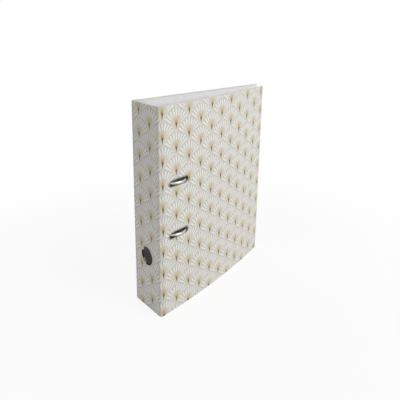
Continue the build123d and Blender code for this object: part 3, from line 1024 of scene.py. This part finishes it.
            # the print keeps its place along the edge, and the paper's own length across it
            mitred = (np.abs(way) < 0.5) & (within[:, None] > 0)
            printed = np.where(mitred, np.stack([s, z], -1), base + way * run[:, None])
            skin.add_grid(wall.place(s, depth, z), wall.axes(base[0, 0, 0])[1], printed)
        return thicken(skin.make(), wall.covering * self.fill)

    def lining_depth(self, s: Array, z: Array) -> Array:
        """Depth of the lining: a smooth step up at the cut edge of the turn-in."""
        x = np.clip((self.inward(s, z) - self.wall.turn_in) / self.step, 0, 1)
        return self.wall.board_under + self.wall.lining + self.wall.covering * (1 - x * x * (3 - 2 * x))

    def lined(self) -> Piece:
        """Make the lining: flat on the board, and stepped up over the turned-in covering.

        Returns:
            The lining's object.
        """
        wall = self.wall
        rise = wall.turn_in + np.linspace(-self.step_foot, self.step, 5)
        ends = {End.START: [self.first + rise], End.FINISH: [self.last - rise]}
        rows = [rise, wall.height - rise]
        lines = self.grid(wall.lining_margin, ends.get(self.free, []), rows)
        skin = Skin(f"{self.name}_lining_paper")
        self.add_face(skin, lines, self.lining_depth, -1.0)
        return thicken(skin.make(), wall.lining * self.fill)


@dataclass
class Case:
    """The folded case: two covers and a spine, and the creases that they turn on.

    The boards' papers stop short of each opening, under its eyelet.
    """

    wall: CaseWall
    slot_half_straight: float = 15.35
    slot_radius: float = 4.3
    slot_heights: tuple[float, float] = (126.0, 206.0)
    slot_from_corner: float = 31.0
    finger_radius: float = 14.5
    finger_height: float = 88.0
    under_eyelet: float = 0.6

    @property
    def slots(self) -> list[Hole]:
        """Openings of the two slots, over the middle of the arches.

        Returns:
            The lower and the upper opening.
        """
        corner = self.wall.starts[4][0] - self.wall.setbacks[1]
        station = self.wall.front_station(corner + self.slot_from_corner)
        size = (self.slot_half_straight, self.slot_radius)
        return [Hole(station, height, *size) for height in self.slot_heights]

    @property
    def finger(self) -> Hole:
        """Opening of the finger ring, midway between the two sharp corners of the spine."""
        station = float(self.wall.joints[2]) + self.wall.spine_width / 2 - self.wall.setbacks[0]
        return Hole(station, self.finger_height, 0.0, self.finger_radius, along=10, up=10)

    def cut(self, *openings: Hole) -> tuple[Hole, ...]:
        """Holes that the papers have for some openings."""
        return tuple(replace(hole, radius=hole.radius + self.under_eyelet) for hole in openings)

    def build_panels(self) -> None:
        """Build the coverings and linings of the boards."""
        for panel, body in (
            (Panel(self.wall, "front", 0, End.START, self.cut(*self.slots)), "front_cover"),
            (Panel(self.wall, "spine", 2, holes=self.cut(self.finger)), "spine"),
            (Panel(self.wall, "back", 4, End.FINISH, spacing=30.0), "back_cover"),
        ):
            paper, inside, name = panel.covering(), panel.lined(), panel.name
            settle(paper, PRINTED_PAPER, f"{name}_covering", body)
            settle(inside, LINING_PAPER, f"{name}_lining", body)
            dress(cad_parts[f"{name}_board"], GREYBOARD)

    def build_creases(self) -> None:
        """Build the papers of the two creases, which are left on no body, and bake their places into
        their meshes.
        """
        for name, run, before, after in (
            ("front_crease", 1, "front_cover", "spine"),
            ("back_crease", 3, "spine", "back_cover"),
        ):
            panel = Panel(self.wall, name, run, spacing=0.4)
            ends = np.array([panel.first, panel.last])
            paper, inside = panel.covering(), panel.lined()
            settle(paper, PRINTED_PAPER, f"{name}_covering")
            settle(inside, LINING_PAPER, f"{name}_board")
            inmost = self.wall.board_under + self.wall.covering + self.wall.lining
            for piece, depth in ((paper, self.wall.board_under / 2), (inside, inmost)):
                start, end = self.wall.place(ends, depth, 0.0) * METRES
                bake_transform(piece)

    def build(self) -> None:
        """Build the whole case."""
        self.build_panels()
        self.build_creases()


# ---- Metalwork ----


@dataclass
class Eyelet:
    """A pressed eyelet: a rolled rim outside, a collar through the wall and a curled lip inside.

    The rolls are fuller than an ellipse: they follow the sine to the power of their fullness.
    """

    name: str
    node: str
    body: str
    wall: CaseWall
    opening: Hole
    flange: float
    seat: float = 0.0
    rise: float = 0.8
    foot: float = 0.12
    collar: float = 0.5
    washer: float = 0.5
    lip: float = 1.4
    fullness: float = 0.8
    around: int = 96

    def section(self) -> Array:
        """Closed cross-section of the eyelet, the rim's outer foot first.

        The rim is half an oval over the flange, its inner side running down into the collar, and
        the lip is a half roll round the washer.

        Returns:
            Rows of growth from the opening and height over the wall.
        """
        half, curl = self.flange / 2, self.lip / 2
        face = -(self.wall.board_under + self.wall.lining + self.seat + self.washer)
        dome, roll = np.linspace(0, math.pi, 13), np.linspace(0, math.pi, 9)
        over = self.foot + (self.rise - self.foot) * np.sin(dome) ** self.fullness
        under = face - self.collar * np.sin(roll) ** self.fullness
        rim = np.stack([half + half * np.cos(dome), over], -1)
        lip = np.stack([curl - curl * np.cos(roll), under], -1)
        return np.concatenate([rim, lip, [[self.collar, face], [self.collar, 0], [self.flange, 0]]])

    def build(self) -> None:
        """Carry the section round the opening, close it both ways and settle it.

        The ends of the walk are half circles about two axis points, and the axis moves along the
        straight sides between them.
        """
        turn = np.linspace(0, 2 * math.pi, self.around, endpoint=False) + math.pi / self.around
        ways = np.stack([np.cos(turn), np.sin(turn)], -1)
        axis = np.sign(ways[:, :1]) * [self.opening.half_straight, 0]
        section = self.section()
        flat = axis[:, None] + ways[:, None] * (self.opening.radius + section[:, :1])
        along, out = self.wall.axes(self.opening.station)
        middle = self.wall.place(np.array([self.opening.station]), 0.0, self.opening.height)[0]
        up = np.array([0.0, 0.0, 1.0])
        points = middle + flat[..., :1] * along + flat[..., 1:] * up + section[:, 1:] * out
        points = np.pad(points, ((0, 1), (0, 1), (0, 0)), mode="wrap")
        skin = Skin(self.name)
        skin.add_grid(points, along * ways[0, 0] + up * ways[0, 1] + out)
        settle(skin.make(), NICKEL_SHEET, self.node, self.body)


@dataclass
class Rivets:
    """Four semi-tubular rivets: a domed head outside the back cover, a rolled tail on the plate."""

    columns: tuple[float, float] = (-127.05, -86.05)
    rows: tuple[float, float] = (99.0, 233.0)
    cover_face: float = 35.793
    plate_face: float = 32.293
    head: float = 4.5
    rise: float = 1.2
    shank: float = 2.0
    tail: float = 3.5
    hollow: float = 1.26
    fullness: float = 0.7
    around: int = 32

    def profile(self) -> Array:
        """Half cross-section from the top of the head to the middle of the tail.

        The head is a quarter of an ellipse. The tail is half an oval rolled out of the tube, round
        a hollow that is a quarter ellipse deep.

        Returns:
            Rows of distance from the axis and place across the cover.
        """
        dome, roll = np.linspace(0, math.pi / 2, 9), np.linspace(0, math.pi, 13)
        middle, half = (self.tail + self.hollow) / 2, (self.tail - self.hollow) / 2
        over = self.plate_face - self.rise * np.sin(roll) ** self.fullness
        head = [self.head * np.sin(dome), self.cover_face + self.rise * np.cos(dome)]
        shank = [[self.shank, self.shank], [self.cover_face, self.plate_face]]
        bore = [self.hollow * np.cos(dome), self.plate_face + self.rise * np.sin(dome)]
        tail = [middle + half * np.cos(roll), over]
        return np.concatenate([head, shank, tail, np.array(bore)[:, 1:]], axis=1).T

    def build(self) -> None:
        """Turn the profile about each rivet's axis, which runs across the cover, and settle it."""
        away, across = self.profile().T
        turn = np.linspace(0, 2 * math.pi, self.around + 1)[:, None]
        ring = np.stack([np.cos(turn) * away, 0 * turn + across, np.sin(turn) * away], -1)
        skin = Skin("semi_tubular_rivets")
        for x in self.columns:
            for z in self.rows:
                skin.add_grid(ring + [x, 0.0, z], np.array([0.0, 1.0, 0.0]))
        settle(skin.make(), NICKEL_SHEET, "plate_rivets", "back_cover")


@dataclass
class Mechanism:
    """The lever arch, the compressor bar and the washers, whose CAD nodes keep their shapes."""

    wire: tuple[str, ...] = ("arch_wire", "lower_post", "upper_post", "lever_pin", "roller_pin")
    sheet: tuple[str, ...] = ("base_plate", "lever", "compressor_bar", "compressor_lock")
    washers: tuple[str, ...] = ("finger_ring_washer", "lower_slot_washer", "upper_slot_washer")
    nylon: tuple[str, ...] = ("lever_roller",)

    def build(self) -> None:
        """Dress the nodes with their real finishes."""
        for names, finish in (
            (self.wire, NICKEL_WIRE),
            (self.sheet + self.washers, NICKEL_SHEET),
            (self.nylon, ROLLER_NYLON),
        ):
            for name in names:
                dress(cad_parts[name], finish)


# ---- Studio ----


def seen_directly(tree: Tree) -> Socket:
    """Tell the rays that see the studio as plain white: the camera's, mirrors' and glass's.

    Args:
        tree: Node tree of a material or of the world.

    Returns:
        1 on those rays and 0 on the others.
    """
    rays = add_node(tree, "ShaderNodeLightPath").outputs
    seen = rays["Is Camera Ray"]
    for kind in ("Is Glossy Ray", "Is Transmission Ray"):
        seen = add_node(tree, "ShaderNodeMath", [seen, rays[kind]], operation="MAXIMUM").outputs[0]
    return seen


@dataclass(frozen=True)
class StudioWhite(Finish):
    """Matt white studio paper, seen by the camera and by mirrors as a clean white sweep."""

    name: str = "studio_white_sweep"
    colour: str = "FAFAFA"
    roughness: float = 0.9
    shadow_share: float = 0.11
    pool: tuple[float, float] = (0.18, 0.75)

    def shader_inputs(self, tree: Tree) -> dict[str, object]:
        """Give the lit paper."""
        return {"Base Color": linear(self.colour), "Roughness": self.roughness}

    def shader(self, tree: Tree) -> Socket:
        """Mix the lit paper with plain white, so that only a share of the shadow shows.

        The lit paper shows close to the object, and fades to plain white over the pool's two
        distances from it, in metres.

        Args:
            tree: Node tree of the material.

        Returns:
            The mixed shader's socket.
        """
        paper = super().shader(tree)
        white = add_node(tree, "ShaderNodeEmission", [WHITE, 1.0]).outputs[0]
        place = add_node(tree, "ShaderNodeTexCoord").outputs["Object"]
        away = add_node(tree, "ShaderNodeVectorMath", [place], operation="LENGTH").outputs["Value"]
        levels = [away, *self.pool, 1 - self.shadow_share, 1.0]
        far = add_node(tree, "ShaderNodeMapRange", levels, interpolation_type="SMOOTHSTEP")
        shares = [seen_directly(tree), far.outputs[0]]
        share = add_node(tree, "ShaderNodeMath", shares, operation="MULTIPLY").outputs[0]
        return add_node(tree, "ShaderNodeMixShader", [share, paper, white]).outputs[0]


@dataclass(frozen=True)
class Softbox:
    """A large square lamp, hung in the room and aimed at the middle of the object, in metres."""

    name: str
    place: tuple[float, float, float]
    watts: float
    size: float = 1.3
    aim: tuple[float, float, float] = (0.0, 0.0, 0.16)

    def build(self) -> None:
        """Hang the lamp and turn it to its aim."""
        lamp = bpy.data.lights.new(self.name, "AREA")
        lamp.shape = "SQUARE"
        lamp.size = self.size
        lamp.energy = self.watts
        softbox = bpy.data.objects.new(self.name, lamp)
        bpy.context.scene.collection.objects.link(softbox)
        place = Vector(self.place)
        turn = (Vector(self.aim) - place).to_track_quat("-Z", "Y").to_matrix().to_4x4()
        softbox.matrix_world = Matrix.Translation(place) @ turn


@dataclass
class Studio:
    """White floor and surround, and soft lamps in front, to the left and behind."""

    floor_half: float = 6000.0
    floor_drop: float = 0.02
    ambient: float = 0.24
    lamps: tuple[Softbox, ...] = (
        Softbox("key_softbox", (0.62, -1.75, 1.25), 29.0),
        Softbox("side_softbox", (-2.05, -0.55, 0.85), 7.0),
        Softbox("rear_softbox", (0.9, 1.9, 1.1), 16.0),
    )

    def build_floor(self) -> None:
        """Lay the floor just under the object."""
        across = np.linspace(-self.floor_half, self.floor_half, 5)
        skin = Skin("studio_floor")
        places = np.stack(np.meshgrid(across, across, -self.floor_drop, indexing="ij"), -1)
        skin.add_grid(places[:, :, 0], np.array([0.0, 0.0, 1.0]))
        floor = skin.make()
        dress(floor, StudioWhite())

    def build_world(self) -> None:
        """Light evenly from all round, and show white behind the object."""
        world = bpy.data.worlds.new("studio_surround")
        world.use_nodes = True
        tree = world.node_tree
        tree.nodes.clear()
        levels = [seen_directly(tree), 0.0, 1.0, self.ambient, 1.0]
        level = add_node(tree, "ShaderNodeMapRange", levels).outputs[0]
        light = add_node(tree, "ShaderNodeBackground", [WHITE, level])
        add_node(tree, "ShaderNodeOutputWorld", [light.outputs[0]])
        bpy.context.scene.world = world

    def build(self) -> None:
        """Build the floor, the surround and the lamps."""
        self.build_floor()
        self.build_world()
        for lamp in self.lamps:
            lamp.build()
        bpy.context.scene.view_settings.view_transform = "Standard"


@dataclass
class Viewpoint:
    """The camera: where it stands in metres, how it is turned in degrees and how wide it sees."""

    azimuth: float = -45.306
    elevation: float = 15.78
    roll: float = 0.748
    focal_share: float = 456.49 / 400
    place: tuple[float, float, float] = (-0.525615, -0.486135, 0.424284)
    shift_up: float = -0.12
    sensor: float = 36.0
    nearest: float = 0.01

    def build(self) -> None:
        """Stand the camera at its place, raised from straight down, rolled and turned."""
        place = Matrix.Translation(Vector(self.place))
        turned = Matrix.Rotation(math.radians(self.azimuth), 4, "Z")
        raised = Matrix.Rotation(math.radians(90 - self.elevation), 4, "X")
        rolled = Matrix.Rotation(math.radians(self.roll), 4, "Z")
        lens = bpy.data.cameras.new("studio_camera")
        lens.sensor_width = self.sensor
        lens.lens = self.focal_share * self.sensor
        lens.shift_y = self.shift_up
        lens.clip_start = self.nearest
        camera = bpy.data.objects.new("studio_camera", lens)
        bpy.context.scene.collection.objects.link(camera)
        camera.matrix_world = place @ turned @ raised @ rolled
        bpy.context.scene.camera = camera


def main() -> None:
    """Build every sub-assembly in order."""
    logging.basicConfig(level=logging.INFO, format="%(message)s", stream=sys.stdout)
    Viewpoint().build()
    Studio().build()
    wall = CaseWall()
    case = Case(wall)
    case.build()
    for side, slot in zip(("lower", "upper"), case.slots):
        name, node = f"{side}_slot_eyelet", f"{side}_slot_rim"
        Eyelet(name, node, "front_cover", wall, slot, flange=1.7, seat=wall.lining).build()
    Eyelet("finger_eyelet", "finger_ring", "spine", wall, case.finger, flange=2.0).build()
    Rivets().build()
    Mechanism().build()


if __name__ == "__main__":
    main()
